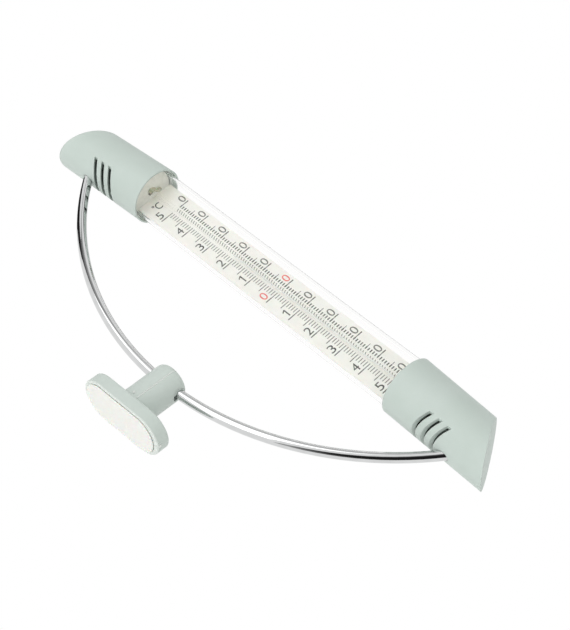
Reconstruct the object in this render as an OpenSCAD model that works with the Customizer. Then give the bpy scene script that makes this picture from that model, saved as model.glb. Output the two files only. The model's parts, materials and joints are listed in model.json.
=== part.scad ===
// Window thermometer: a clear tube with its scale between two slanted end caps, carried by a chrome bow.
// The bow slides and swivels in the stem of a foot that is stuck to a window pane.
// Frame: the origin is the centre of the pad's outer face, the pane is the plane x = 0, and +Z is up.
// The assembly frame used by most modules has the tube's axis on Z, the bow towards -X and the scale facing -Y.

/* [Glass tube] */
// Outer diameter of the clear tube
tube_od = 22.4; // [20:0.1:22.8]
// Wall of the clear tube
tube_wall = 1; // [0.6:0.1:1.4]
// Length of tube seen between the two caps
visible_len = 144.8; // [120:0.2:160]
// Length of each tube end inside its cap
tube_seat = 11; // [8:0.5:11.5]
// Thickness of the plug in each tube end
plug_t = 7; // [5:0.5:8]

/* [End caps] */
// Outer diameter of a cap at its mouth
cap_od = 25.4; // [25:0.1:27]
// Taper of a cap towards its slanted end, in degrees
cap_draft = 0.8; // [0:0.1:1.2]
// Length of a cap on the bow side, from its mouth to its tip
cap_long = 49.8; // [48:0.1:56]
// Length of a cap on the side away from the bow
cap_short = 34.6; // [32:0.1:36]
// Wall of a cap round its chamber
cap_wall = 1.5; // [1.1:0.1:2]
// Lean of a cap towards the bow, in degrees
cap_lean = 2.8; // [0:0.1:3]
// Diameter of the wider mouth in front of the tube's seat
mouth_d = 24; // [23.6:0.1:24.2]
// Depth of the wider mouth
mouth_depth = 2.5; // [1:0.1:4]
// Diameter of the hole in the ledge that stops the tube
ledge_d = 19; // [16:0.1:19.5]
// Thickness of the ledge
ledge_t = 1.2; // [0.8:0.1:1.5]
// Thickness of the rubber washer between the tube and the ledge
washer_t = 1; // [0.5:0.1:1]

/* [Vent slots] */
// Number of slots in a cap
slot_count = 3; // [1:1:3]
// Width of a slot
slot_w = 1.6; // [0.8:0.05:1.8]
// Distance from one slot to the next
slot_pitch = 4.45; // [3.5:0.05:4.6]
// Height of the first slot above the mouth, on the bow side
slot_first = 16.1; // [16:0.1:17]
// Slope of the slots, in degrees
slot_tilt = 33; // [10:1:40]
// Depth of the slots, measured across the cap from the bow side
slot_depth = 6.1; // [4:0.1:7]

/* [Bow] */
// Diameter of the chrome rod
rod_d = 4.2; // [3:0.1:4.6]
// Radius of the bow's centre line
bow_radius = 133.2; // [125:0.2:145]
// Distance from the tube's axis to the rod at the middle of the bow
bow_reach = 62; // [56:0.2:66]
// Distance from the tube's axis to the rod's ends
rod_end_reach = 8; // [7.5:0.1:9.5]
// Wall of the socket that holds a rod end
socket_wall = 1.4; // [1:0.1:1.5]

/* [Scale and capillary] */
// Width of the scale plate
plate_w = 18.2; // [14:0.1:18.4]
// Thickness of the scale plate
plate_t = 1; // [0.6:0.1:1.2]
// Distance of the printed face behind the tube's axis
plate_back = 1.9; // [1.8:0.1:2.4]
// Height of the plate's top edge above the middle of the tube
plate_top = 74.6; // [60:0.2:75.2]
// Height of the 0 degree line above the middle of the tube
zero_z = -2.7; // [-6:0.1:2]
// Length of one degree on the scale
degree_len = 1.288; // [1:0.002:1.3]
// Temperature that the column shows at rest
reading = 21; // [-40:1:45]
// Outer diameter of the capillary
capillary_d = 3; // [2:0.1:3.4]
// Diameter of the capillary's bore
bore_d = 0.6; // [0.4:0.05:0.8]
// Diameter of the bulb
bulb_d = 6.4; // [5:0.1:7.5]
// Length of the bulb
bulb_len = 15; // [10:0.5:17]
// Glass wall of the bulb
bulb_wall = 0.7; // [0.5:0.1:1]
// Radius of the dab of glue at the capillary's top
glue_r = 2.2; // [1.6:0.1:2.4]

/* [Foot] */
// Length of the foot plate, along the bow
foot_len = 41; // [38:0.2:46]
// Width of the foot plate
foot_w = 19; // [18.4:0.2:24]
// Thickness of the foot plate
foot_t = 5.9; // [4:0.1:7]
// Radius on the back edge of the foot plate
foot_edge = 0.8; // [0.3:0.1:1.2]
// Radius on the front edge of the foot plate, round the pad
rim_round = 0.6; // [0.2:0.1:0.6]
// Diameter of the stem
stem_d = 15.2; // [13:0.1:16]
// Length of the stem beyond the rod's centre line
stem_over = 4.2; // [4:0.1:8]
// Radius on the stem's end
stem_round = 2.4; // [0.5:0.1:3]
// Distance from the pane to the rod's centre line
rod_height = 23.5; // [20:0.1:30]

/* [Adhesive pad] */
// Length of the pad, along the bow
pad_len = 36.4; // [32:0.2:37]
// Width of the pad
pad_w = 16.8; // [14:0.1:17]
// Depth of the pocket that the pad lies in
pocket_depth = 0.6; // [0.3:0.1:1.2]
// Height of the pad's face above the rim
pad_proud = 0.5; // [0.4:0.1:2]
// Radius on the edge of the pad's face
pad_edge = 0.2; // [0.1:0.05:0.3]

/* [Grip sleeve] */
// Wall of the sleeve round the rod
sleeve_wall = 0.75; // [0.6:0.05:1.2]
// Width of the notch in each end of the sleeve, on the foot's side of the rod
notch_w = 3; // [1:0.1:3.4]
// Depth of a notch, measured from the stem's widest width
notch_deep = 2.5; // [1:0.1:4]

/* [Fits] */
// Radial clearance of parts that turn or slide in each other
run_fit = 0.05; // [0.02:0.01:0.1]
// Gap round parts that are glued or pressed into a pocket
seat_gap = 0.05; // [0.03:0.01:0.1]
// Gap between the liquid and the glass round it
liquid_gap = 0.03; // [0.02:0.01:0.05]
// Axial play of the tube against each washer
end_play = 0.1; // [0.05:0.05:0.2]
// Gap between the pad's side and the rim
pad_gap = 0.2; // [0.1:0.05:0.3]

/* [Rest pose] */
// Place of the foot along the bow, in degrees from its middle, positive towards the top cap
foot_slide = -2.16; // [-40:0.01:40]
// Swivel of the bow about the rod, in degrees from square to the pane
foot_swivel = 7.14; // [-80:0.01:80]
// Turn of the tube in its caps, in degrees from square to the bow
tube_turn = -3.95; // [-180:0.05:180]

/* [Hidden] */
$fn = 96;
cut = 1;

cap_green = [0.78, 0.82, 0.79];
chrome = [0.85, 0.86, 0.88];
clear_glass = [0.86, 0.92, 0.95, 0.35];
milk_white = [0.95, 0.95, 0.93];
grey_rubber = [0.45, 0.46, 0.46];
pad_white = [0.95, 0.95, 0.93];
pale_blue = [0.45, 0.6, 0.8];
glue_brown = [0.45, 0.4, 0.2];

mouth_z = visible_len / 2;
tube_r = tube_od / 2;
tube_ir = tube_r - tube_wall;
tube_half = mouth_z + tube_seat;
cap_r = cap_od / 2;
draft_slope = tan(cap_draft);
seat_r = tube_r + run_fit;
washer_z = tube_half + end_play;
ledge_z = washer_z + washer_t;
chamber_h = ledge_z + ledge_t - mouth_z;
cap_tip_r = cap_r - cap_long * draft_slope;
cap_heel_r = cap_r - cap_short * draft_slope;
oblique = atan((cap_long - cap_short) / (cap_tip_r + cap_heel_r));

rod_r = rod_d / 2;
bow_centre = bow_radius - bow_reach;
rod_end_angle = acos((bow_centre + rod_end_reach) / bow_radius);
socket_deep = 0.15;
socket_r = rod_r + socket_wall;
socket_len = 12;

face_y = plate_back;
capillary_r = capillary_d / 2;
capillary_y = face_y - seat_gap - capillary_r;
capillary_bore_r = bore_d / 2;
plug_grip = 4;
capillary_top = tube_half - plug_t + plug_grip;
plate_bottom = -(tube_half - plug_t + plug_grip);
bulb_r = bulb_d / 2;
bulb_gap = 4.5;
bulb_top = -(tube_half + bulb_gap);
bulb_bottom = bulb_top - bulb_len;
thread_r = capillary_bore_r - liquid_gap;
thread_top = zero_z + reading * degree_len;

foot_back = pad_proud + foot_t;
stem_r = stem_d / 2;
stem_end = rod_height + stem_over;
sleeve_r = rod_r + run_fit + sleeve_wall;
rod_rest_x = bow_centre - bow_radius * cos(foot_slide);
rod_rest_z = bow_radius * sin(foot_slide);

// Frames: each one places its children from their own frame into the part's frame

module in_grip() {
    translate([rod_height, 0, 0])
        rotate([0, 0, -foot_swivel])
            children();
}

module in_assembly() {
    in_grip()
        rotate([0, -foot_slide, 0])
            translate([-rod_rest_x, 0, -rod_rest_z])
                children();
}

module in_tube() {
    in_assembly()
        rotate([0, 0, tube_turn])
            children();
}

// Leaning frame of the top cap: its mouth's centre is the origin and its axis is Z
module in_top_cap() {
    translate([0, 0, mouth_z])
        rotate([0, -cap_lean, 0])
            children();
}

// Shared shapes

// Rod of radius r along the bow's centre line, over half_angle to each side of the middle
module bow_arc(r, half_angle) {
    translate([bow_centre, 0, 0])
        rotate([90, 0, 0])
            rotate([0, 0, 180 - half_angle])
                rotate_extrude(angle = 2 * half_angle)
                    translate([bow_radius, 0])
                        circle(r);
}

// Plate with round ends, from x = low to x = high, its edges rounded by front_edge at low and back_edge at high
module round_ended(length, width, low, high, front_edge, back_edge) {
    mid = (length - width) / 2;
    for (side = [-1, 1])
        translate([low, 0, side * mid])
            rotate([0, 90, 0])
                rotate_extrude()
                    edge_profile(width / 2, high - low, front_edge, back_edge);
    translate([low, 0, -mid])
        linear_extrude(2 * mid)
            rotate(-90)
                for (side = [0, 1])
                    mirror([side, 0])
                        edge_profile(width / 2, high - low, front_edge, back_edge);
}

// Half section of a disc of height h, its corners rounded by low_edge and high_edge
module edge_profile(r, h, low_edge, high_edge) {
    translate([0, low_edge])
        square([r, h - low_edge - high_edge]);
    square([r - low_edge, h - high_edge]);
    translate([0, low_edge])
        square([r - high_edge, h - low_edge]);
    translate([r - low_edge, low_edge])
        circle(low_edge, $fn = 48);
    translate([r - high_edge, h - high_edge])
        circle(high_edge, $fn = 48);
}

// Half section of a closed glass or liquid body round Z, with ball ends
module capsule(r, low, high) {
    translate([0, 0, low + r])
        cylinder(r = r, h = high - low - 2 * r);
    for (z = [low + r, high - r])
        translate([0, 0, z])
            sphere(r);
}

// Tapered body of a cap, as it would be without its slanted end, inset by wall
module tapered(wall, low, high) {
    translate([0, 0, low])
        cylinder(
            r1 = cap_r - wall - low * draft_slope,
            r2 = cap_r - wall - high * draft_slope,
            h = high - low
        );
}

// Side view of a cap's slanted end, lowered by drop
module slanted_side(drop) {
    wide = cap_od;
    tip_z = cap_long - drop;
    slope = tan(oblique);
    rotate([90, 0, 0])
        linear_extrude(2 * wide, center = true)
            polygon([
                [-wide, -cut],
                [wide, -cut],
                [wide, tip_z - (wide + cap_tip_r) * slope],
                [-wide, tip_z + (wide - cap_tip_r) * slope]
            ]);
}

module stem() {
    translate([foot_back - cut, 0, 0])
        rotate([0, 90, 0])
            rotate_extrude()
                edge_profile(stem_r, stem_end - foot_back + cut, 0, stem_round);
}

// Foot: a round-ended plate and a stem in one moulding, with a cross bore for the sleeve
module foot() {
    color(cap_green)
        difference() {
            union() {
                round_ended(foot_len, foot_w, pad_proud, foot_back, rim_round, foot_edge);
                stem();
            }
            round_ended(pad_len + 2 * pad_gap, pad_w + 2 * pad_gap, -cut, pad_proud + pocket_depth, 0, 0);
            translate([rod_height, 0, 0])
                cylinder(r = sleeve_r + run_fit, h = 2 * stem_d, center = true);
        }
}

module adhesive_pad() {
    color(pad_white)
        round_ended(pad_len, pad_w, 0, pad_proud + pocket_depth, pad_edge, 0);
}

// Sleeve: turns in the stem's bore, and the bow slides through its curved bore.
// Its ends follow the stem's outside, with a notch beside the rod that lets the bow's curve through.
module grip_sleeve() {
    color(cap_green)
        difference() {
            intersection() {
                in_grip()
                    cylinder(r = sleeve_r, h = 2 * stem_d, center = true);
                stem();
            }
            in_grip() {
                translate([bow_reach, 0, 0])
                    bow_arc(rod_r + run_fit, 10);
                for (side = [0, 1])
                    mirror([0, 0, side])
                        translate([-stem_d, -notch_w / 2, stem_r - notch_deep])
                            cube([stem_d, notch_w, stem_d]);
            }
        }
}

module bow() {
    color(chrome)
        in_assembly()
            bow_arc(rod_r, rod_end_angle);
}

// Space inside a cap: mouth, tube seat, ledge hole and the slanted chamber round the rod's socket
module cap_space() {
    in_top_cap()
        translate([0, 0, -cut])
            cylinder(d = mouth_d, h = mouth_depth + cut);
    translate([0, 0, mouth_z - cut])
        cylinder(r = seat_r, h = ledge_z - mouth_z + cut);
    translate([0, 0, mouth_z])
        cylinder(d = ledge_d, h = chamber_h + cut);
    difference() {
        in_top_cap()
            intersection() {
                tapered(cap_wall, chamber_h, cap_long);
                slanted_side(cap_wall / cos(oblique));
            }
        translate([bow_centre - bow_radius * cos(rod_end_angle), 0, bow_radius * sin(rod_end_angle)])
            rotate([0, rod_end_angle, 0])
                translate([0, 0, -socket_len])
                    cylinder(r = socket_r, h = socket_len + socket_wall);
    }
}

// Slots: straight cuts from the bow side that rise towards the far side, all ending in one plane
module vent_slots() {
    in_top_cap()
        intersection() {
            translate([-cap_od, -cap_od, 0])
                cube([cap_od - cap_r + slot_depth, 2 * cap_od, cap_long]);
            for (i = [0 : slot_count - 1])
                translate([-cap_r, 0, slot_first + i * slot_pitch])
                    rotate([0, -slot_tilt, 0])
                        translate([-cap_od, -cap_od, -slot_w / 2])
                            cube([2 * cap_od, 2 * cap_od, slot_w]);
        }
}

module cap() {
    color(cap_green)
        difference() {
            in_top_cap()
                intersection() {
                    tapered(0, 0, cap_long + cut);
                    slanted_side(0);
                }
            cap_space();
            vent_slots();
            bow_arc(rod_r + seat_gap, rod_end_angle + socket_deep);
        }
}

module top_cap() {
    in_assembly()
        cap();
}

module bottom_cap() {
    in_assembly()
        mirror([0, 0, 1])
            cap();
}

module washer() {
    color(grey_rubber)
        translate([0, 0, washer_z])
            difference() {
                cylinder(r = tube_r, h = washer_t);
                translate([0, 0, -cut])
                    cylinder(d = ledge_d, h = washer_t + 2 * cut);
            }
}

module top_washer() {
    in_assembly()
        washer();
}

module bottom_washer() {
    in_assembly()
        mirror([0, 0, 1])
            washer();
}

module outer_tube() {
    color(clear_glass)
        in_tube()
            difference() {
                cylinder(r = tube_r, h = 2 * tube_half, center = true);
                cylinder(r = tube_ir, h = 2 * (tube_half + cut), center = true);
            }
}

// Plug for a tube end, its outer face level with the end of the tube
module plug_blank() {
    translate([0, 0, tube_half - plug_t])
        cylinder(r = tube_ir - seat_gap, h = plug_t);
}

// The top plug has a blind hole that holds the capillary's top
module top_plug() {
    color(grey_rubber)
        in_tube()
            difference() {
                plug_blank();
                translate([0, capillary_y, tube_half - plug_t - cut])
                    cylinder(r = capillary_r + seat_gap, h = plug_grip + seat_gap + cut);
            }
}

// The bottom plug lets the capillary through and holds the plate's lower end
module bottom_plug() {
    slot_wide = plate_w + 2 * seat_gap;
    slot_thick = plate_t + 2 * seat_gap;
    color(grey_rubber)
        in_tube()
            difference() {
                mirror([0, 0, 1])
                    plug_blank();
                translate([0, capillary_y, -(tube_half + cut)])
                    cylinder(r = capillary_r + seat_gap, h = plug_t + 2 * cut);
                translate([-slot_wide / 2, face_y - seat_gap, plate_bottom - seat_gap])
                    cube([slot_wide, slot_thick, plug_t]);
            }
}

module scale_plate() {
    color(milk_white)
        in_tube()
            translate([-plate_w / 2, face_y, plate_bottom])
                cube([plate_w, plate_t, plate_top - plate_bottom]);
}

// Capillary and bulb: one piece of glass, hollow for the liquid
module capillary_glass() {
    color(clear_glass)
        in_tube()
            translate([0, capillary_y, 0])
                difference() {
                    union() {
                        translate([0, 0, bulb_top - bulb_r])
                            cylinder(r = capillary_r, h = capillary_top - bulb_top + bulb_r);
                        capsule(bulb_r, bulb_bottom, bulb_top);
                    }
                    capsule(bulb_r - bulb_wall, bulb_bottom + bulb_wall, bulb_top - bulb_wall);
                    translate([0, 0, bulb_top - bulb_r])
                        cylinder(r = capillary_bore_r, h = capillary_top - bulb_top + bulb_r - capillary_r);
                }
}

module bulb_liquid() {
    wall = bulb_wall + liquid_gap;
    color(pale_blue)
        in_tube()
            translate([0, capillary_y, 0])
                capsule(bulb_r - wall, bulb_bottom + wall, bulb_top - wall);
}

module liquid_thread() {
    color(pale_blue)
        in_tube()
            translate([0, capillary_y, bulb_top - bulb_wall])
                cylinder(r = thread_r, h = thread_top - bulb_top + bulb_wall);
}

// Dab of glue that holds the capillary against the plate's top edge, under the plug
module glue_dab() {
    color(glue_brown)
        in_tube()
            difference() {
                translate([capillary_r + glue_r / 2, face_y - glue_r / 4, plate_top])
                    sphere(glue_r);
                translate([-plate_w / 2, face_y, plate_bottom])
                    cube([plate_w, plate_w, plate_top - plate_bottom + plate_w]);
                translate([0, capillary_y, 0])
                    cylinder(r = capillary_r + seat_gap, h = capillary_top);
                translate([-plate_w / 2, -plate_w / 2, tube_half - plug_t - seat_gap])
                    cube(plate_w);
            }
}

foot();
adhesive_pad();
grip_sleeve();
bow();
top_cap();
bottom_cap();
top_washer();
bottom_washer();
outer_tube();
top_plug();
bottom_plug();
scale_plate();
capillary_glass();
bulb_liquid();
liquid_thread();
glue_dab();
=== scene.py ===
"""Window thermometer: a clear tube with its scale between two slanted caps, carried by a chrome bow.

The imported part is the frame. This script gives each piece its surface, prints the scale, and adds the
soft pad, the liquid, the glue and the small marks of moulding. Lengths are in metres, and in
millimetres where a comment says so.
"""

import json
import math
import random

import bmesh
import bpy
from mathutils import Matrix, Vector, noise


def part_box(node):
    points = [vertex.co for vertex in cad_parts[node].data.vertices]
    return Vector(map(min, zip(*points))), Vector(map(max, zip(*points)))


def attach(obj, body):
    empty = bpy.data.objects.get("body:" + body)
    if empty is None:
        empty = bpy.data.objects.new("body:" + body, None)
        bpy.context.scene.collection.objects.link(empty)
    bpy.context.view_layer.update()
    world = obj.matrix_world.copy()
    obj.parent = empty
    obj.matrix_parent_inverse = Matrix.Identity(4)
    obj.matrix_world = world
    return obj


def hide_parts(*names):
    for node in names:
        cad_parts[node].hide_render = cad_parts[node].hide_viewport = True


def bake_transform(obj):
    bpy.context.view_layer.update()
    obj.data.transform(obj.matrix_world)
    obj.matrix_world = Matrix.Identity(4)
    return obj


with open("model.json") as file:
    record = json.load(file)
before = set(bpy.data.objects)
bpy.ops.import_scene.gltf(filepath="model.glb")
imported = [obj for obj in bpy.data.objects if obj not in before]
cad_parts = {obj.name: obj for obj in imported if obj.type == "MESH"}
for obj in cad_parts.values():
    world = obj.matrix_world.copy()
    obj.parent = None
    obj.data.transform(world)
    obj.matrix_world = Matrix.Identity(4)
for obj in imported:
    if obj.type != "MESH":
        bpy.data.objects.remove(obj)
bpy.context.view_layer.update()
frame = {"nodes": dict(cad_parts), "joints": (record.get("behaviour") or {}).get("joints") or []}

MM = 0.001

# Scale print, as the reader sees it: X to the right and Z up from the middle of the tube.
# The print leans a little on its plate: DRIFT is how far it moves in X for each metre of Z, and SLOPE
# how far it drops in Z for each metre of X.
ZERO_Z = -2.7 * MM
DEGREE = 1.288 * MM
LAST_DEGREE = 50
DECADES = [decade for decade in range(-LAST_DEGREE // 10, LAST_DEGREE // 10 + 1) if decade]
DRIFT = 0.0032
SLOPE = 0.014
INK_THICK = 0.015 * MM
# How far the end of a line strays in X, in millimetres
LINE_STRAY = 0.05
LINE_SEED = 7
# The parts of a degree line, by the degrees that it marks: start, end and thickness in millimetres
LEFT_PARTS = {
    1: ((-0.8, -3.45, 0.32),),
    5: ((-0.8, -3.4, 0.34), (-3.4, -5.3, 0.4)),
    10: ((-0.8, -4.2, 0.36), (-4.2, -7.3, 0.5)),
}
RIGHT_PARTS = {
    1: ((2.9, 4.4, 0.5),),
    5: ((2.9, 4.4, 0.54), (4.4, 6.0, 0.24)),
    10: ((2.9, 4.4, 0.54), (4.4, 5.8, 0.34), (5.8, 7.8, 0.46)),
}
# What shows of each line through the capillary: a slanting dash
SLANT_START = Vector((0.66, -1.05)) * MM
SLANT_END = Vector((1.7, -0.3)) * MM
SLANT_THICK = 0.3 * MM
FIGURE_TALL = 3.85 * MM
FIGURE_WIDE = 2.6 * MM
ONE_WIDE = 1.6 * MM
# Corners of the figure 1, as shares of its width and height
ONE_OUTLINE = ((0.66, 0), (1, 0), (1, 1), (0.74, 1), (0, 0.8), (0, 0.66), (0.66, 0.83))
FIGURE_LIFT = 1.05 * MM
LEFT_FIGURE_X = -5.75 * MM
RIGHT_FIGURE_X = 6.5 * MM
RIGHT_FIGURE_DRIFT = 0.0035
RIGHT_FIGURE_DROP = 0.15 * MM
# The unit above the scale: text, middle, foot, width, height and how far its strokes are thickened
UNIT_SIGNS = (
    ("C", -2.5 * MM, 67.4 * MM, 2.7 * MM, 3.8 * MM, 0.0),
    ("°", -4.55 * MM, 70.15 * MM, 1.15 * MM, 1.15 * MM, 0.02),
)

# Turn of the tube in its caps at rest
TUBE_TURN = math.radians(-3.95)

# Camera, in the assembly frame
CAMERA_PLACE = Vector((-220.4, -432.9, -284.2)) * MM
CAMERA_TARGET = Vector((-3.7, 7.8, -9.3)) * MM
CAMERA_ROLL = math.radians(-52.37)
CAMERA_LENS = 80.26


def joint(name):
    return next(row for row in frame["joints"] if row["name"] == name)


def axes_matrix(x_axis, y_axis, z_axis, origin):
    matrix = Matrix((x_axis, y_axis, z_axis)).transposed().to_4x4()
    matrix.translation = origin
    return matrix


def assembly_frame():
    """The tube's axis is Z, the bow lies towards -X, and the origin is the middle of the tube."""
    z_axis = Vector(joint("tube_turn")["axis"])
    y_axis = Vector(joint("slide_along_bow")["axis"])
    return axes_matrix(y_axis.cross(z_axis), y_axis, z_axis, Vector(joint("tube_turn")["pos_m"]))


ASSEMBLY = assembly_frame()
TUBE = ASSEMBLY @ Matrix.Rotation(TUBE_TURN, 4, "Z")


def local_box(node, matrix):
    """Lowest and highest corner of a node, measured in another frame."""
    back = matrix.inverted()
    points = [back @ vertex.co for vertex in frame["nodes"][node].data.vertices]
    low = Vector([min(point[i] for point in points) for i in range(3)])
    high = Vector([max(point[i] for point in points) for i in range(3)])
    return low, high


PLATE_LOW, PLATE_HIGH = local_box("scale_plate", TUBE)
TUBE_RADIUS, _, TUBE_HALF = local_box("outer_tube", TUBE)[1]


# Materials


def srgb(red, green, blue):
    """A colour written as 0 to 255, as linear light."""
    values = [channel / 255 for channel in (red, green, blue)]
    return [value / 12.92 if value < 0.04045 else ((value + 0.055) / 1.055) ** 2.4 for value in values]


def either_ray(tree, names):
    """1 for a ray of any of the named kinds, otherwise 0."""
    path = tree.nodes.new("ShaderNodeLightPath")
    total = path.outputs[names[0]]
    for name in names[1:]:
        either = tree.nodes.new("ShaderNodeMath")
        either.operation = "MAXIMUM"
        tree.links.new(total, either.inputs[0])
        tree.links.new(path.outputs[name], either.inputs[1])
        total = either.outputs[0]
    return total


class Surface:
    """A material being made: one Principled shader and the nodes that feed it."""

    def __init__(self, name):
        self.material = bpy.data.materials.new(name)
        self.material.use_nodes = True
        self.tree = self.material.node_tree
        self.shader = self.tree.nodes["Principled BSDF"]
        self.output = self.tree.nodes["Material Output"]
        self.place = self.node("ShaderNodeTexCoord").outputs["Object"]

    def node(self, kind, **settings):
        made = self.tree.nodes.new(kind)
        for key, value in settings.items():
            setattr(made, key, value)
        return made

    def feed(self, socket, value):
        if isinstance(value, bpy.types.NodeSocket):
            self.tree.links.new(value, socket)
        else:
            socket.default_value = value

    def set(self, **values):
        """Sets constants on the shader. A name's underscores stand for spaces."""
        for key, value in values.items():
            socket = next(s for s in self.shader.inputs if s.name.lower().replace(" ", "_") == key)
            socket.default_value = value

    def noise(self, size, detail=2.0, stretch=(1, 1, 1)):
        """Noise whose patches are about size metres across, stretched along the axes."""
        mapping = self.node("ShaderNodeMapping")
        self.feed(mapping.inputs["Vector"], self.place)
        mapping.inputs["Scale"].default_value = [1 / factor for factor in stretch]
        made = self.node("ShaderNodeTexNoise")
        self.feed(made.inputs["Vector"], mapping.outputs["Vector"])
        made.inputs["Scale"].default_value = 1 / size
        made.inputs["Detail"].default_value = detail
        return made.outputs["Fac"]

    def spread(self, value, low, high, start=0.3, end=0.7):
        """Maps a noise value from start..end to low..high."""
        made = self.node("ShaderNodeMapRange")
        self.feed(made.inputs["Value"], value)
        made.inputs["From Min"].default_value = start
        made.inputs["From Max"].default_value = end
        made.inputs["To Min"].default_value = low
        made.inputs["To Max"].default_value = high
        return made.outputs["Result"]

    def mix(self, factor, low, high):
        """Mixes two colours, each a list of three or a socket."""
        made = self.node("ShaderNodeMix", data_type="RGBA")
        self.feed(made.inputs[0], factor)
        for socket, value in ((made.inputs[6], low), (made.inputs[7], high)):
            self.feed(socket, value if isinstance(value, bpy.types.NodeSocket) else [*value, 1])
        return made.outputs[2]

    def colour(self, value):
        self.feed(self.shader.inputs["Base Color"], value)

    def mottle(self, patches, low, high):
        """Colours the surface from low to high by a noise value."""
        self.colour(self.mix(self.spread(patches, 0, 1), low, high))

    def roughness(self, value):
        self.feed(self.shader.inputs["Roughness"], value)

    def bump(self, height, depth, strength=1.0):
        """Bump of depth metres, laid over any bump made before it."""
        made = self.node("ShaderNodeBump")
        made.inputs["Strength"].default_value = strength
        made.inputs["Distance"].default_value = depth
        self.feed(made.inputs["Height"], height)
        before = self.shader.inputs["Normal"].links
        if before:
            self.feed(made.inputs["Normal"], before[0].from_socket)
        self.feed(self.shader.inputs["Normal"], made.outputs["Normal"])

    def edges(self, radius):
        """From 0 on open faces to 1 on edges, judged within radius metres. It rounds the shading too."""
        bevel = self.node("ShaderNodeBevel", samples=6)
        bevel.inputs["Radius"].default_value = radius
        self.feed(self.shader.inputs["Normal"], bevel.outputs["Normal"])
        flat = self.node("ShaderNodeNewGeometry").outputs["Normal"]
        dot = self.node("ShaderNodeVectorMath", operation="DOT_PRODUCT")
        self.feed(dot.inputs[0], bevel.outputs["Normal"])
        self.feed(dot.inputs[1], flat)
        return self.spread(dot.outputs["Value"], 1, 0, start=0.8, end=0.99)

    def let_light_through(self, tint):
        """Shadow and diffuse rays pass straight through, so that what is behind the glass stays lit."""
        clear = self.node("ShaderNodeBsdfTransparent")
        clear.inputs["Color"].default_value = [*tint, 1]
        mixed = self.node("ShaderNodeMixShader")
        self.feed(mixed.inputs[0], either_ray(self.tree, ("Is Shadow Ray", "Is Diffuse Ray")))
        self.feed(mixed.inputs[1], self.shader.outputs["BSDF"])
        self.feed(mixed.inputs[2], clear.outputs["BSDF"])
        self.feed(self.output.inputs["Surface"], mixed.outputs["Shader"])


def satin_plastic(name, painted_light=None):
    """Pale grey-green moulded plastic with a fine satin grain. Edges get a painted highlight, and the places
    that the given mask picks get painted light.
    """
    surface = Surface(name)
    cloudy = surface.spread(surface.noise(14 * MM, detail=3), 0, 1)
    base = surface.mix(cloudy, srgb(192, 204, 197), srgb(197, 208, 202))
    speckled = surface.mix(surface.spread(surface.noise(0.35 * MM), 0, 0.25), base, srgb(184, 197, 190))
    # Painted highlight: edges are lightened towards pale green, as if they caught the light.
    edges = surface.spread(surface.edges(0.35 * MM), 0, 0.55, start=0, end=1)
    highlit = surface.mix(edges, speckled, srgb(224, 231, 226))
    # Painted light over the places that the given mask picks.
    if painted_light:
        highlit = surface.mix(painted_light(surface), highlit, srgb(226, 231, 226))
    surface.colour(highlit)
    surface.roughness(surface.spread(surface.noise(2.5 * MM, detail=4), 0.4, 0.52))
    surface.bump(surface.noise(0.22 * MM, detail=1), 0.012 * MM, 0.5)
    surface.set(specular_ior_level=0.45)
    return surface.material


def worn_rim(surface):
    """Painted light: strong on the foot's rim, which lies near the pane, where it stands in for a highlight,
    and faint on the rest of the foot, which it lightens a little.
    """
    axes = surface.node("ShaderNodeSeparateXYZ")
    surface.feed(axes.inputs[0], surface.place)
    return surface.spread(axes.outputs["X"], 0.7, 0.2, start=0.85 * MM, end=1.25 * MM)


def worn_bore(surface):
    """Painted light: from 1 on the wall of the tube's seat in each cap, which lies in shade inside the mouth,
    to 0 elsewhere. It lightens that wall.
    """
    mapping = surface.node("ShaderNodeMapping", vector_type="TEXTURE")
    surface.feed(mapping.inputs["Vector"], surface.place)
    mapping.inputs["Location"].default_value = ASSEMBLY.translation
    mapping.inputs["Rotation"].default_value = ASSEMBLY.to_euler()
    flat = surface.node("ShaderNodeVectorMath", operation="MULTIPLY")
    surface.feed(flat.inputs[0], mapping.outputs["Vector"])
    flat.inputs[1].default_value = (1, 1, 0)
    length = surface.node("ShaderNodeVectorMath", operation="LENGTH")
    surface.feed(length.inputs[0], flat.outputs["Vector"])
    near, far_out = TUBE_RADIUS + 0.45 * MM, TUBE_RADIUS + 0.7 * MM
    within = surface.spread(length.outputs["Value"], 1, 0, start=near, end=far_out)
    axes = surface.node("ShaderNodeSeparateXYZ")
    surface.feed(axes.inputs[0], mapping.outputs["Vector"])
    from_middle = surface.node("ShaderNodeMath", operation="ABSOLUTE")
    surface.feed(from_middle.inputs[0], axes.outputs["Z"])
    along = surface.spread(from_middle.outputs["Value"], 1, 0, start=TUBE_HALF, end=TUBE_HALF + 0.5 * MM)
    both = surface.node("ShaderNodeMath", operation="MULTIPLY")
    surface.feed(both.inputs[0], within)
    surface.feed(both.inputs[1], along)
    return both.outputs["Value"]


def rubbed_all_over(surface):
    """How strongly a painted highlight lightens the raised marks, a little uneven across them."""
    return surface.spread(surface.noise(1 * MM), 0.75, 1)


def pad_foam():
    """White closed-cell foam: pin-hole cells in a soft matt face."""
    surface = Surface("pad_foam")
    surface.mottle(surface.noise(5 * MM, detail=3), srgb(235, 235, 230), srgb(238, 238, 233))
    surface.roughness(surface.spread(surface.noise(1.2 * MM), 0.7, 0.85))
    cells = surface.node("ShaderNodeTexVoronoi")
    surface.feed(cells.inputs["Vector"], surface.place)
    cells.inputs["Scale"].default_value = 1 / (0.3 * MM)
    surface.bump(cells.outputs["Distance"], 0.02 * MM, 0.6)
    surface.set(subsurface_weight=0.15, subsurface_scale=0.5 * MM)
    return surface.material


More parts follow.
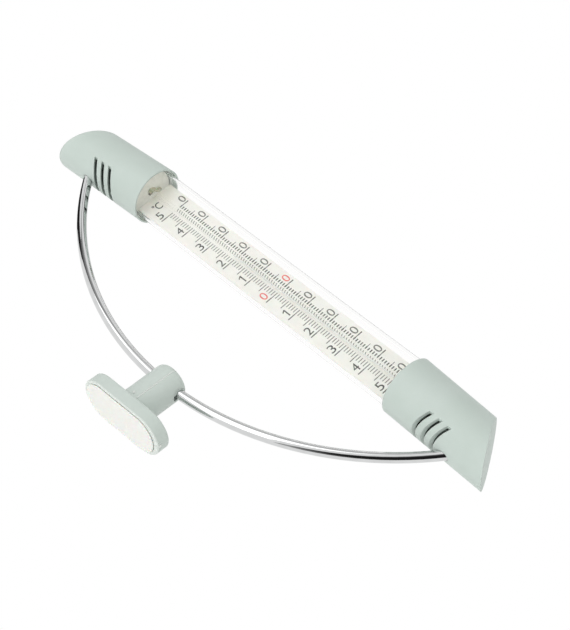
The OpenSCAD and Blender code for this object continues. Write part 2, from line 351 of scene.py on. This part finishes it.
def chrome_rod():
    """Bright chrome plate over a drawn rod: faint pits and a soft haze here and there."""
    surface = Surface("chrome_rod")
    surface.mottle(surface.noise(3 * MM, detail=3), srgb(208, 209, 209), srgb(215, 216, 216))
    hazy = surface.spread(surface.noise(2 * MM, detail=5), 0.02, 0.07, start=0.35, end=0.75)
    surface.roughness(hazy)
    surface.bump(surface.noise(0.6 * MM, detail=3), 0.002 * MM, 0.3)
    surface.set(metallic=1.0)
    return surface.material


def grey_rubber():
    """Plugs and washers of off-white rubber, a little mottled."""
    surface = Surface("grey_rubber")
    surface.mottle(surface.noise(1.8 * MM, detail=4), srgb(232, 232, 222), srgb(243, 243, 234))
    surface.roughness(surface.spread(surface.noise(0.7 * MM), 0.55, 0.75))
    surface.bump(surface.noise(0.3 * MM), 0.02 * MM, 0.5)
    return surface.material


# What the glass lets through of the light that passes straight
SHADE_OF_GLASS = (0.99, 0.99, 0.99)


def clear_tube():
    """Clear tube with faint handling haze and drawn waves along it."""
    surface = Surface("clear_tube")
    surface.mottle(surface.noise(20 * MM), (0.995, 0.994, 0.99), (1, 0.999, 0.997))
    hazy = surface.spread(surface.noise(9 * MM, detail=4), 0.0, 0.02, start=0.5, end=0.8)
    surface.roughness(hazy)
    surface.bump(surface.noise(5 * MM, stretch=(1, 1, 8)), 0.01 * MM, 0.1)
    surface.set(transmission_weight=1.0, ior=1.1)
    surface.let_light_through(SHADE_OF_GLASS)
    return surface.material


def clear_glass():
    """Capillary and bulb glass, with the faint streaks of drawn glass."""
    surface = Surface("clear_glass")
    surface.mottle(surface.noise(6 * MM, stretch=(1, 1, 10)), (0.995, 0.996, 0.992), (1, 1, 0.998))
    hazy = surface.spread(surface.noise(4 * MM, detail=3), 0.0, 0.015, start=0.5, end=0.8)
    surface.roughness(hazy)
    surface.bump(surface.noise(1.5 * MM, stretch=(1, 1, 12)), 0.004 * MM, 0.1)
    surface.set(transmission_weight=1.0, ior=1.05)
    surface.let_light_through(SHADE_OF_GLASS)
    return surface.material


def scale_white():
    """Milk-white strip, stained cream towards the glue at its top, and lightened there with painted light
    against the shade of the cap's lip.
    """
    surface = Surface("scale_white")
    cloudy = surface.spread(surface.noise(4 * MM, detail=4), 0, 1)
    white = surface.mix(cloudy, srgb(240, 240, 233), srgb(245, 245, 239))
    glued = TUBE @ Vector((2 * MM, 0, PLATE_HIGH.z))
    reach = surface.node("ShaderNodeVectorMath", operation="DISTANCE")
    surface.feed(reach.inputs[0], surface.place)
    reach.inputs[1].default_value = glued
    # Part cream stain, part painted light that lifts the shade of the cap's lip.
    stain_and_light = surface.spread(reach.outputs["Value"], 0.85, 0, start=1 * MM, end=13 * MM)
    surface.colour(surface.mix(stain_and_light, white, srgb(251, 249, 236)))
    surface.roughness(surface.spread(surface.noise(2 * MM, detail=3), 0.35, 0.5))
    surface.bump(surface.noise(0.5 * MM, detail=3), 0.006 * MM, 0.4)
    surface.set(subsurface_weight=0.1, subsurface_scale=0.6 * MM)
    return surface.material


def ink(name, thin, full):
    """Printing ink, thinner in places."""
    surface = Surface(name)
    surface.mottle(surface.noise(0.5 * MM, detail=3), thin, full)
    surface.roughness(surface.spread(surface.noise(0.4 * MM), 0.35, 0.55))
    surface.bump(surface.noise(0.1 * MM), 0.003 * MM, 0.4)
    return surface.material


def liquid():
    """Pale liquid, which can hardly be told from the glass round it."""
    surface = Surface("liquid")
    surface.mottle(surface.noise(3 * MM), srgb(222, 224, 220), srgb(228, 230, 226))
    surface.roughness(surface.spread(surface.noise(2 * MM), 0.3, 0.4))
    return surface.material


def glue():
    """Set glue, pale khaki and cloudy, with a satin skin."""
    surface = Surface("glue")
    surface.mottle(surface.noise(0.9 * MM, detail=4), srgb(188, 190, 160), srgb(212, 213, 192))
    surface.roughness(surface.spread(surface.noise(0.8 * MM, detail=3), 0.35, 0.5))
    surface.bump(surface.noise(0.5 * MM, detail=2), 0.03 * MM, 0.4)
    surface.set(subsurface_weight=0.2, subsurface_scale=0.4 * MM)
    return surface.material


SURFACES = {
    # The caps carry painted light on the shaded wall inside their mouths.
    "green_plastic": satin_plastic("green_plastic", worn_bore),
    # The foot's copy of the plastic carries painted light on its rim and, more faintly, all over.
    "foot_plastic": satin_plastic("foot_plastic", worn_rim),
    "light_plastic": satin_plastic("light_plastic", rubbed_all_over),
    "pad_foam": pad_foam(),
    "chrome_rod": chrome_rod(),
    "grey_rubber": grey_rubber(),
    "clear_tube": clear_tube(),
    "clear_glass": clear_glass(),
    "scale_white": scale_white(),
    "liquid": liquid(),
    "glue": glue(),
    "black_ink": ink("black_ink", srgb(92, 94, 90), srgb(52, 54, 52)),
    "grey_ink": ink("grey_ink", srgb(124, 125, 120), srgb(92, 94, 90)),
    "pale_ink": ink("pale_ink", srgb(140, 141, 134), srgb(112, 114, 108)),
    "red_ink": ink("red_ink", srgb(236, 132, 126), srgb(228, 104, 98)),
}


def dress_nodes():
    """Each carried-over node gets the surface that its material slot names, and the foot its own copy with
    painted light.
    """
    for name, node in frame["nodes"].items():
        for slot in node.material_slots:
            kind = "foot_plastic" if name == "foot" else slot.material.name.split(".")[0]
            slot.material = SURFACES[kind]


# Pieces


SHARP_ANGLE = math.radians(35)


def add_piece(name, mesh, surface, body=None):
    """Shows a mesh with a surface. It rides on the body, if given."""
    mesh.materials.clear()
    mesh.materials.append(SURFACES[surface])
    piece = bpy.data.objects.new(name, mesh)
    bpy.context.scene.collection.objects.link(piece)
    if body:
        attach(piece, body)
    return piece


def mesh_from(name, builder, smooth=False):
    """A mesh from a bmesh function."""
    bm = bmesh.new()
    builder(bm)
    bmesh.ops.recalc_face_normals(bm, faces=bm.faces)
    for face in bm.faces:
        face.smooth = smooth
    mesh = bpy.data.meshes.new(name)
    bm.to_mesh(mesh)
    bm.free()
    return mesh


def mesh_of_shape(name, data):
    """The mesh that Blender makes of a text or of metaballs."""
    shape = bpy.data.objects.new(name, data)
    bpy.context.scene.collection.objects.link(shape)
    graph = bpy.context.evaluated_depsgraph_get()
    mesh = bpy.data.meshes.new_from_object(shape.evaluated_get(graph))
    bpy.data.objects.remove(shape)
    return mesh


def on_print(x, z):
    """A place on the face of the plate, in the tube's frame."""
    return Vector((x + DRIFT * z, PLATE_LOW.y - INK_THICK / 2, z - SLOPE * x))


def ink_bar(bm, start, end, thick):
    """A printed line between two places on the face of the plate, each given as X and Z."""
    low = on_print(*start)
    along = on_print(*end) - low
    turn = Matrix.Rotation(-math.atan2(along.z, along.x), 4, "Y")
    size = Matrix.Diagonal((along.length, INK_THICK, thick, 1))
    bmesh.ops.create_cube(bm, size=1, matrix=TUBE @ Matrix.Translation(low + along / 2) @ turn @ size)


def line_kind(degree):
    return next(step for step in (10, 5, 1) if degree % step == 0)


def scale_lines(parts):
    """Draws each degree line on one side of the scale from its parts."""
    def draw(bm):
        rng = random.Random(LINE_SEED)
        for degree in range(-LAST_DEGREE, LAST_DEGREE + 1):
            z = ZERO_Z + degree * DEGREE
            stray = rng.uniform(-LINE_STRAY, LINE_STRAY)
            for start, end, thick in parts[line_kind(degree)]:
                ink_bar(bm, (start * MM, z), ((end + stray) * MM, z), thick * MM)
    return draw


def slanting_dashes(bm):
    for degree in range(-LAST_DEGREE, LAST_DEGREE + 1):
        foot = Vector((0, ZERO_Z + degree * DEGREE))
        ink_bar(bm, SLANT_START + foot, SLANT_END + foot, SLANT_THICK)


def one_figure():
    """The figure 1, with its flag, one thick and centred on Z = 0."""
    count = len(ONE_OUTLINE)
    corners = [(x, y, z) for z in (-0.5, 0.5) for x, y in ONE_OUTLINE]
    sides = [(i, (i + 1) % count, (i + 1) % count + count, i + count) for i in range(count)]
    mesh = bpy.data.meshes.new("figure")
    mesh.from_pydata(corners, [], [tuple(range(count))[::-1], tuple(range(count, 2 * count)), *sides])
    return mesh


def font_figure(text, bold):
    curve = bpy.data.curves.new("figure", "FONT")
    curve.body = text
    curve.offset = bold
    curve.extrude = 0.5
    return mesh_of_shape("figure", curve)


def figure(text, bold):
    """A figure as a flat mesh of unit size: its lower left corner at the origin, one tall and one wide."""
    mesh = one_figure() if text == "1" else font_figure(text, bold)
    xs = [vertex.co.x for vertex in mesh.vertices]
    ys = [vertex.co.y for vertex in mesh.vertices]
    fit = Matrix.Diagonal((1 / (max(xs) - min(xs)), 1 / (max(ys) - min(ys)), 1, 1))
    mesh.transform(fit @ Matrix.Translation((-min(xs), -min(ys), 0)))
    return mesh


def print_figure(bm, text, x, z, wide=FIGURE_WIDE, tall=FIGURE_TALL, bold=0.0):
    """Prints a figure on the plate: x is its middle and z its foot."""
    mesh = figure(text, bold)
    to_plate = Matrix.Rotation(math.pi / 2, 4, "X")
    place = Matrix.Translation(on_print(x - wide / 2, z))
    mesh.transform(TUBE @ place @ to_plate @ Matrix.Diagonal((wide, tall, INK_THICK, 1)))
    bm.from_mesh(mesh)
    bpy.data.meshes.remove(mesh)


def figure_foot(decade):
    return ZERO_Z + 10 * decade * DEGREE + FIGURE_LIFT


def left_figure(bm, decade):
    wide = ONE_WIDE if abs(decade) == 1 else FIGURE_WIDE
    print_figure(bm, str(abs(decade)), LEFT_FIGURE_X, figure_foot(decade), wide)


def right_figure(bm, decade):
    z = figure_foot(decade) - RIGHT_FIGURE_DROP
    print_figure(bm, "0", RIGHT_FIGURE_X + RIGHT_FIGURE_DRIFT * z, z)


def left_figures(bm):
    for decade in DECADES:
        left_figure(bm, decade)
    for sign in UNIT_SIGNS:
        print_figure(bm, *sign)


def right_figures(bm):
    for decade in DECADES:
        right_figure(bm, decade)


def zero_figures(bm):
    left_figure(bm, 0)
    right_figure(bm, 0)


def print_scale():
    printed = (
        ("left_lines", scale_lines(LEFT_PARTS), "grey_ink"),
        ("right_lines", scale_lines(RIGHT_PARTS), "black_ink"),
        ("slanting_dashes", slanting_dashes, "pale_ink"),
        ("left_figures", left_figures, "black_ink"),
        ("right_figures", right_figures, "grey_ink"),
        ("zero_figures", zero_figures, "red_ink"),
    )
    for name, builder, surface in printed:
        add_piece(name, mesh_from(name, builder), surface, "tube")


def circle_turns(count):
    """The angles of evenly spaced points round a circle."""
    return [2 * math.pi * i / count for i in range(count)]


def skin(bm, rings):
    """A closed skin through rings of points, with a flat face on the first and the last."""
    rows = [[bm.verts.new(point) for point in ring] for ring in rings]
    for low, high in zip(rows, rows[1:]):
        for i in range(len(low)):
            bm.faces.new((low[i - 1], low[i], high[i], high[i - 1]))
    bm.faces.new(rows[0])
    bm.faces.new(reversed(rows[-1]))


def smooth_by_angle(mesh):
    """Smooth shading, with the edges that turn by more than SHARP_ANGLE kept sharp."""
    mesh.shade_smooth()
    mesh.set_sharp_from_angle(angle=SHARP_ANGLE)
    return mesh


# Foam pad


PAD_SIZE = Vector(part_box("adhesive_pad")[1]) - Vector(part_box("adhesive_pad")[0])
PAD_STEPS = 220
# Unevenness of the pad's cut edge: waves in each metre, and how deep in millimetres
PAD_WAVERS = ((320, 0.07), (1500, 0.02))
# Sections of the pad from its back to its face, in millimetres: how far out from the CAD pad's outline,
# how far from the pane, and how far up. In the pocket the foam keeps that outline, and in front of the
# foot's rim it is squeezed out over it.
PAD_SECTIONS = (
    (-0.3, 1.1, 0),
    (-0.04, 0.98, 0),
    (0.0, 0.5, 0.05),
    (0.0, 0.44, 0.1),
    (0.1, 0.36, 0.2),
    (0.32, 0.26, 0.28),
    (0.4, 0.16, 0.3),
    (0.36, 0.06, 0.3),
    (0.2, 0.01, 0.25),
    (-0.1, 0.0, 0.25),
)


def around_stadium(share, length, width):
    """A point at a share of the way round a shape with two straight sides and two round ends."""
    straight = length - width
    bend = math.pi * width / 2
    walk = share * 2 * (straight + bend) % (2 * (straight + bend))
    side = 1
    if walk > straight + bend:
        walk -= straight + bend
        side = -1
    if walk < straight:
        return Vector((0, side * width / 2, side * (straight / 2 - walk)))
    turn = (walk - straight) / (width / 2)
    return Vector((0, side * math.cos(turn) * width / 2, side * (-straight / 2 - math.sin(turn) * width / 2)))


def pad_rings(bm):
    """Foam cut a little unevenly by hand, its face pressed flat and its edge squeezed out over the rim."""
    rings = []
    for outward, depth, lift in PAD_SECTIONS:
        length = PAD_SIZE.z + 2 * outward * MM
        width = PAD_SIZE.y + 2 * outward * MM
        ring = []
        for i in range(PAD_STEPS):
            point = around_stadium(i / PAD_STEPS, length, width)
            waver = sum(noise.noise(point * waves) * deep for waves, deep in PAD_WAVERS)
            inward = 1 - max(0, waver) * MM / (PAD_SIZE.y / 2)
            ring.append(Vector((depth * MM, point.y * inward, point.z * inward + lift * MM)))
        rings.append(ring)
    skin(bm, rings)


def make_pad():
    mesh = smooth_by_angle(mesh_from("foam_pad", pad_rings))
    pad = add_piece("foam_pad", mesh, "pad_foam", "foot")
    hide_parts("adhesive_pad")


# Liquid and glue


THREAD_RADIUS = 0.265 * MM
# How much the column's radius grows for each metre further down
THREAD_TAPER = 0.00012
THREAD_STEP = 1 * MM
THREAD_SIDES = 20
THREAD_DOME_STEPS = 5


def thread_rings(bm):
    """The column: close rings along its length, so that it stretches evenly, and a domed top."""
    low, high = local_box("liquid_thread", TUBE)
    centre_y = (low.y + high.y) / 2
    count = round((high.z - low.z) / THREAD_STEP)
    straight = high.z - THREAD_RADIUS - low.z
    stations = []
    for i in range(count + 1):
        radius = THREAD_RADIUS + THREAD_TAPER * straight * (1 - i / count)
        stations.append((low.z + straight * i / count, radius))
    for i in range(1, THREAD_DOME_STEPS):
        lift = i / THREAD_DOME_STEPS * math.pi / 2
        stations.append((high.z - THREAD_RADIUS * (1 - math.sin(lift)), THREAD_RADIUS * math.cos(lift)))
    rings = []
    for z, radius in stations:
        around = [(radius * math.cos(turn), radius * math.sin(turn)) for turn in circle_turns(THREAD_SIDES)]
        rings.append([TUBE @ Vector((x, centre_y + y, z)) for x, y in around])
    skin(bm, rings)


def make_thread():
    mesh = smooth_by_angle(mesh_from("liquid_column", thread_rings))
    thread = add_piece("liquid_column", mesh, "liquid")
    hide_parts("liquid_thread")
    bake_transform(thread)


# Lumps of glue on the plate's top edge and round the capillary, in millimetres: place in the tube's
# frame, and radius
GLUE_LUMPS = (
    ((4.4, 1.6, 75.9), 0.6),
    ((3.6, 1.4, 75.8), 0.9),
    ((2.8, 1.3, 75.9), 0.7),
    ((2.0, 0.0, 76.0), 0.5),
    ((2.0, 0.0, 75.2), 0.4),
    ((1.65, -0.85, 76.0), 0.55),
    ((1.6, -0.8, 75.1), 0.45),
    ((0.9, -1.35, 76.0), 0.6),
    ((0.85, -1.3, 75.2), 0.5),
    ((0.8, -1.25, 74.5), 0.4),
    ((0.0, -1.5, 76.0), 0.6),
    ((0.0, -1.45, 75.2), 0.5),
    ((0.0, -1.4, 74.5), 0.4),
    ((-0.9, -1.3, 75.9), 0.5),
    ((-0.85, -1.2, 75.1), 0.4),
)
# Grid of the lumps' mesh in millimetres, how far their skin reaches as a factor, and where it lies
GLUE_GRID = 0.16
GLUE_SWELL = 1.5
GLUE_THRESHOLD = 0.3
# How deep the glue is roughened, in millimetres, and in how many waves for each millimetre
GLUE_ROUGH = 0.25
GLUE_ROUGH_WAVES = 1.7
# Gaps in millimetres between the glue and what it lies on
GLUE_PLATE_GAP = 0.01
GLUE_PLUG_GAP = 0.02


def glue_mesh():
    """Lumps that run into each other, roughened, and flattened where they lie on the plate and the plug."""
    ball = bpy.data.metaballs.new("glue")
    ball.resolution = GLUE_GRID
    ball.threshold = GLUE_THRESHOLD
    for place, radius in GLUE_LUMPS:
        lump = ball.elements.new()
        lump.co = place
        lump.radius = radius * GLUE_SWELL
    mesh = mesh_of_shape("glue", ball)
    last_y = PLATE_LOW.y / MM - GLUE_PLATE_GAP
    last_z = local_box("top_plug", TUBE)[0].z / MM - GLUE_PLUG_GAP
    for vertex in mesh.vertices:
        rough = noise.noise(vertex.co * GLUE_ROUGH_WAVES) * GLUE_ROUGH
        point = vertex.co + vertex.normal * rough
        vertex.co = Vector((point.x, min(point.y, last_y), min(point.z, last_z)))
    mesh.transform(TUBE @ Matrix.Scale(MM, 4))
    mesh.shade_smooth()
    return mesh


def make_glue():
    glue_piece = add_piece("glue_lumps", glue_mesh(), "glue", "tube")
    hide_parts("glue_dab")


# Marks of moulding on the foot


# The stem as it is in the source. Turns round it run from +Y towards +Z.
STEM_RADIUS = 7.6 * MM
STEM_ROUND = 2.4 * MM
STEM_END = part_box("foot")[1][0]
STEM_ROUND_STEPS = 8
FOOT_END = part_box("foot")[0][2]
FOOT_BACK = 6.4 * MM
SEAM_TURN = math.radians(-165.7)
SEAM_WIDE = 0.7 * MM
SEAM_HIGH = 0.05 * MM
# Places across a seam, as shares of half its width: its two edges and its two shoulders
SEAM_STEPS = (-1, -0.4, 0.4, 1)
PIP_TURN = math.radians(172.8)
PIP_X = 8.45 * MM
PIP_RADIUS = 0.8 * MM
PIP_HIGH = 0.14 * MM
GATE_PLACE = Vector((1.7 * MM, -0.3 * MM, FOOT_END))
GATE_RADIUS = 0.75 * MM
GATE_HIGH = 0.25 * MM
DOME_STEPS = 5
DOME_SIDES = 24
# Share of a dome's height that lies under the surface
DOME_SUNK = 0.2


def stem_profile():
    """Points (x, radius) along the outside of the stem, from the foot plate over its rounded end."""
    points = [(FOOT_BACK, STEM_RADIUS), (STEM_END - STEM_ROUND, STEM_RADIUS)]
    for i in range(1, STEM_ROUND_STEPS + 1):
        turn = i / STEM_ROUND_STEPS * math.pi / 2
        x = STEM_END - STEM_ROUND + STEM_ROUND * math.sin(turn)
        points.append((x, STEM_RADIUS - STEM_ROUND + STEM_ROUND * math.cos(turn)))
    return points


def stem_seams(bm):
    """The fine raised line that the mould's two halves leave on each side of the stem."""
    for turn in (SEAM_TURN, SEAM_TURN + math.pi):
        out = Vector((0, math.cos(turn), math.sin(turn)))
        side = Vector((0, -math.sin(turn), math.cos(turn)))
        rings = []
        for x, radius in stem_profile():
            ring = []
            for step in SEAM_STEPS:
                rise = SEAM_HIGH if abs(step) < 1 else -SEAM_HIGH
                ring.append(Vector((x, 0, 0)) + out * (radius + rise) + side * step * SEAM_WIDE / 2)
            rings.append(ring)
        skin(bm, rings)


def dome(bm, place, out, radius, height):
    """A low round bump on a surface, with its foot just under the surface."""
    matrix = out.to_track_quat("Z", "Y").to_matrix().to_4x4()
    matrix.translation = place
    rings = []
    for i in range(DOME_STEPS):
        lift = i / DOME_STEPS * math.pi / 2
        z = height * math.sin(lift) - height * DOME_SUNK
        reach = radius * math.cos(lift)
        around = [(reach * math.cos(turn), reach * math.sin(turn)) for turn in circle_turns(DOME_SIDES)]
        rings.append([matrix @ Vector((x, y, z)) for x, y in around])
    skin(bm, rings)


def moulding_marks(bm):
    """An ejector pip at the foot of the stem, and the trimmed gate on the end of the foot plate."""
    out = Vector((0, math.cos(PIP_TURN), math.sin(PIP_TURN)))
    dome(bm, Vector((PIP_X, 0, 0)) + out * STEM_RADIUS, out, PIP_RADIUS, PIP_HIGH)
    dome(bm, GATE_PLACE, Vector((0, 0, -1)), GATE_RADIUS, GATE_HIGH)


def make_marks():
    # The seams and marks are lightened with a painted highlight.
    seams = mesh_from("stem_seams", stem_seams)
    add_piece("stem_seams", seams, "light_plastic", "foot")
    marks = mesh_from("moulding_marks", moulding_marks, smooth=True)
    add_piece("moulding_marks", marks, "light_plastic", "foot")


# Light and camera


WHITE = (1, 1, 1, 1)
WORLD_FILL = 0.72
# Lamps: place to the camera's right, up and towards it, in metres, then size and power
LAMPS = (
    ("key", (-0.75, -0.6, 0.8), 0.6, 3.7),
    ("top", (0.5, 0.9, 0.4), 0.9, 0.9),
)
# Soft windows: middle, one end and the other, placed as the lamps are, then length, width and power
WINDOWS = (
    ("window", (-0.52, 0.6, 0.76), (-0.13, 1.05, 0.28), (-0.8, 0.03, 0.75), 1.35, 0.36, 2.08),
    ("skylight", (-0.62, 0.68, 0.39), (-0.63, 0.57, 0.53), (-0.6, 0.77, 0.23), 0.36, 0.34, 0.42),
)


def make_world():
    """Rays that end in the picture meet plain white. What lights the object is a little lower."""
    world = bpy.data.worlds.new("studio")
    bpy.context.scene.world = world
    world.use_nodes = True
    tree = world.node_tree
    fill = tree.nodes["Background"]
    fill.inputs["Color"].default_value = WHITE
    fill.inputs["Strength"].default_value = WORLD_FILL
    shown = tree.nodes.new("ShaderNodeBackground")
    shown.inputs["Color"].default_value = WHITE
    in_picture = either_ray(tree, ("Is Camera Ray", "Is Glossy Ray", "Is Transmission Ray"))
    mixed = tree.nodes.new("ShaderNodeMixShader")
    tree.links.new(in_picture, mixed.inputs[0])
    tree.links.new(fill.outputs[0], mixed.inputs[1])
    tree.links.new(shown.outputs[0], mixed.inputs[2])
    tree.links.new(mixed.outputs[0], tree.nodes["World Output"].inputs["Surface"])


def camera_axes():
    """Forward, right and up of the photograph's camera, in the assembly frame."""
    forward = (CAMERA_TARGET - CAMERA_PLACE).normalized()
    level_right = forward.cross(Vector((0, 0, 1))).normalized()
    level_up = level_right.cross(forward)
    right = level_right * math.cos(CAMERA_ROLL) + level_up * math.sin(CAMERA_ROLL)
    return forward, right, right.cross(forward)


def make_camera():
    forward, right, up = camera_axes()
    data = bpy.data.cameras.new("camera")
    data.lens = CAMERA_LENS
    data.clip_start = 0.01
    data.clip_end = 20
    camera = bpy.data.objects.new("camera", data)
    camera.matrix_world = ASSEMBLY @ axes_matrix(right, up, -forward, CAMERA_PLACE)
    bpy.context.scene.collection.objects.link(camera)
    bpy.context.scene.camera = camera


def from_camera(side, lift, towards):
    """A point near the object, by how far it lies to the camera's right, up and towards the camera."""
    forward, right, up = camera_axes()
    return ASSEMBLY @ (CAMERA_TARGET + right * side + up * lift - forward * towards)


def facing(place):
    """A frame at a place whose -Z looks at the object."""
    matrix = (ASSEMBLY.translation - place).to_track_quat("-Z", "Y").to_matrix().to_4x4()
    matrix.translation = place
    return matrix


def facing_along(place, start, end):
    """A frame whose -Z looks at the object and whose X runs from start towards end, seen from the camera."""
    middle = from_camera(*place)
    away = (middle - ASSEMBLY.translation).normalized()
    across = away.cross(from_camera(*end) - from_camera(*start)).normalized()
    return axes_matrix(across.cross(away), across, away, middle)


def add_light(name, data, power, matrix):
    data.energy = power
    light = bpy.data.objects.new(name, data)
    light.matrix_world = matrix
    bpy.context.scene.collection.objects.link(light)
    return light


def add_lamp(name, place, size, power):
    """A round soft lamp that the chrome doesn't mirror."""
    data = bpy.data.lights.new(name, "AREA")
    data.shape = "DISK"
    data.size = size
    lamp = add_light(name, data, power, facing(from_camera(*place)))
    lamp.visible_glossy = False


def add_window(name, place, start, end, length, width, power):
    """A soft light that the chrome mirrors as a white band."""
    data = bpy.data.lights.new(name, "AREA")
    data.shape = "RECTANGLE"
    data.size = length
    data.size_y = width
    add_light(name, data, power, facing_along(place, start, end))


def make_lamps():
    for lamp in LAMPS:
        add_lamp(*lamp)
    for window in WINDOWS:
        add_window(*window)


# Floor and cards


FLOOR_Z = -0.34
FLOOR_SIZE = 8
CARD_BLACK = 0.015
# Cards overhead: middle and half width at each station along them, all at one height
FLAG_Z = 1.0
LONG_FLAG = (
    (0.32, 0.7, 0.12),
    (0.15, 0.28, 0.145),
    (0.02, 0, 0.17),
    (-0.05, -0.25, 0.155),
    (-0.05, -0.6, 0.11),
    (0.0, -0.82, 0.11),
    (0.12, -1.04, 0.16),
    (0.36, -1.26, 0.2),
    (0.62, -1.42, 0.22),
    (0.8, -1.52, 0.2),
)
SIDE_FLAG = (
    (1.4, -0.35, 0.07),
    (1.35, -0.6, 0.11),
    (1.22, -1.0, 0.14),
    (1.08, -1.5, 0.15),
    (1.04, -1.9, 0.14),
    (1.08, -2.3, 0.12),
)
# A dark glowing card just over the floor, seen only in reflections: its lowest and highest corner
MAT_CORNERS = ((-3, -2.6), (0.15, -0.02))
MAT_LIFT = 0.002
# A glowing card on edge, seen only in reflections: its two ends and its half height
WALL_ENDS = ((0.9, -1.0), (1.35, 0.0))
WALL_HALF_HIGH = 0.3
# A grey glowing card behind the object, seen only in reflections: middle, one end and the other, placed as
# the lamps are, then its size
BACK_PLACE = ((0.16, 0.8, -0.85), (0, 1.16, -0.31), (0.26, 0.37, -1.11))
BACK_SIZE = (1.5, 1.0)


def rectangle(width, height):
    """The corners of a flat rectangle round the origin, in turn."""
    x, y = width / 2, height / 2
    return [(-x, -y, 0), (x, -y, 0), (x, y, 0), (-x, y, 0)]


def floor_white():
    """A matt white floor that takes the shadow, and that the metal mirrors as plain white."""
    surface = Surface("floor_white")
    surface.mottle(surface.noise(0.4), srgb(247, 247, 246), srgb(250, 250, 249))
    surface.roughness(0.8)
    plain = surface.node("ShaderNodeEmission")
    mirrored = surface.node("ShaderNodeMath", operation="SUBTRACT", use_clamp=True)
    surface.feed(mirrored.inputs[0], either_ray(surface.tree, ("Is Glossy Ray",)))
    surface.feed(mirrored.inputs[1], either_ray(surface.tree, ("Is Transmission Ray",)))
    mixed = surface.node("ShaderNodeMixShader")
    surface.feed(mixed.inputs[0], mirrored.outputs["Value"])
    surface.feed(mixed.inputs[1], surface.shader.outputs["BSDF"])
    surface.feed(mixed.inputs[2], plain.outputs["Emission"])
    surface.feed(surface.output.inputs["Surface"], mixed.outputs["Shader"])
    return surface.material


def add_sheet(name, corners, faces, material):
    """A flat thing that isn't part of the object."""
    mesh = bpy.data.meshes.new(name)
    mesh.from_pydata(corners, [], faces)
    mesh.materials.append(material)
    sheet = bpy.data.objects.new(name, mesh)
    bpy.context.scene.collection.objects.link(sheet)
    return sheet


def make_floor():
    floor = add_sheet("floor", rectangle(FLOOR_SIZE, FLOOR_SIZE), [(0, 1, 2, 3)], floor_white())
    floor.matrix_world = Matrix.Translation((0, 0, FLOOR_Z))


def add_card(name, corners, faces, material):
    """A card that only mirrors in the metal and the gloss."""
    card = add_sheet(name, corners, faces, material)
    card.visible_camera = False
    card.visible_diffuse = False
    card.visible_shadow = False
    card.visible_transmission = False


def fading_grey(name, centre, turn, reach, near, far):
    """A glowing card that the chrome mirrors, going from the grey near to the grey far round an oval, whose
    half axes are reach.
    """
    surface = Surface(name)
    oval = surface.node("ShaderNodeMapping", vector_type="TEXTURE")
    surface.feed(oval.inputs["Vector"], surface.place)
    oval.inputs["Location"].default_value = centre
    oval.inputs["Rotation"].default_value = (0, 0, turn)
    oval.inputs["Scale"].default_value = (*reach, 1)
    length = surface.node("ShaderNodeVectorMath", operation="LENGTH")
    surface.feed(length.inputs[0], oval.outputs["Vector"])
    fade = surface.spread(length.outputs["Value"], 0, 1, start=0.2, end=1)
    glow = surface.node("ShaderNodeEmission")
    surface.feed(glow.inputs["Color"], surface.mix(fade, (near, near, near), (far, far, far)))
    surface.feed(surface.output.inputs["Surface"], glow.outputs["Emission"])
    return surface.material


def flag_shape(stations):
    """Corners and faces of a card overhead."""
    corners = []
    for x, y, half in stations:
        corners += [(x - half, y, FLAG_Z), (x + half, y, FLAG_Z)]
    return corners, [(i, i + 1, i + 3, i + 2) for i in range(0, len(corners) - 2, 2)]


def make_mat():
    (low_x, low_y), (high_x, high_y) = MAT_CORNERS
    around = ((low_x, low_y), (high_x, low_y), (high_x, high_y), (low_x, high_y))
    corners = [(x, y, FLOOR_Z + MAT_LIFT) for x, y in around]
    middle = (-0.55, -0.6, FLOOR_Z)
    turn = math.radians(45)
    grey = fading_grey("mat_black", middle, turn, reach=(3.1, 1.05), near=CARD_BLACK, far=0.45)
    add_card("floor_mat", corners, [(0, 1, 2, 3)], grey)


def make_flags():
    middle = (0.05, -0.1, FLAG_Z)
    turn = math.radians(-65)
    grey = fading_grey("flag_black", middle, turn, reach=(1.7, 1.7), near=CARD_BLACK, far=0.5)
    add_card("long_flag", *flag_shape(LONG_FLAG), grey)
    middle = (1.1, -3, FLAG_Z)
    grey = fading_grey("flag_grey", middle, turn=0, reach=(1.2, 1.2), near=CARD_BLACK, far=0.6)
    add_card("side_flag", *flag_shape(SIDE_FLAG), grey)


def make_wall():
    near_end, far_end = WALL_ENDS
    low, high = -WALL_HALF_HIGH, WALL_HALF_HIGH
    corners = [(*near_end, low), (*far_end, low), (*far_end, high), (*near_end, high)]
    middle = (1.0, -0.8, -0.1)
    grey = fading_grey("wall_grey", middle, turn=0, reach=(1.3, 1.3), near=CARD_BLACK, far=0.6)
    add_card("side_wall", corners, [(0, 1, 2, 3)], grey)


def make_back_sheet():
    plane = facing_along(*BACK_PLACE)
    corners = [plane @ Vector(corner) for corner in rectangle(*BACK_SIZE)]
    middle = plane.translation
    grey = fading_grey("back_grey", middle, turn=0, reach=(0.9, 0.9), near=0.6, far=0.95)
    add_card("back_sheet", corners, [(0, 1, 2, 3)], grey)


def make_cards():
    """Cards round the camera, overhead and behind, which draw the dark and grey bands along the chrome."""
    make_mat()
    make_flags()
    make_wall()
    make_back_sheet()


make_camera()
dress_nodes()
print_scale()
make_pad()
make_thread()
make_glue()
make_marks()
make_world()
make_lamps()
make_floor()
make_cards()
bpy.context.scene.view_settings.view_transform = "Standard"
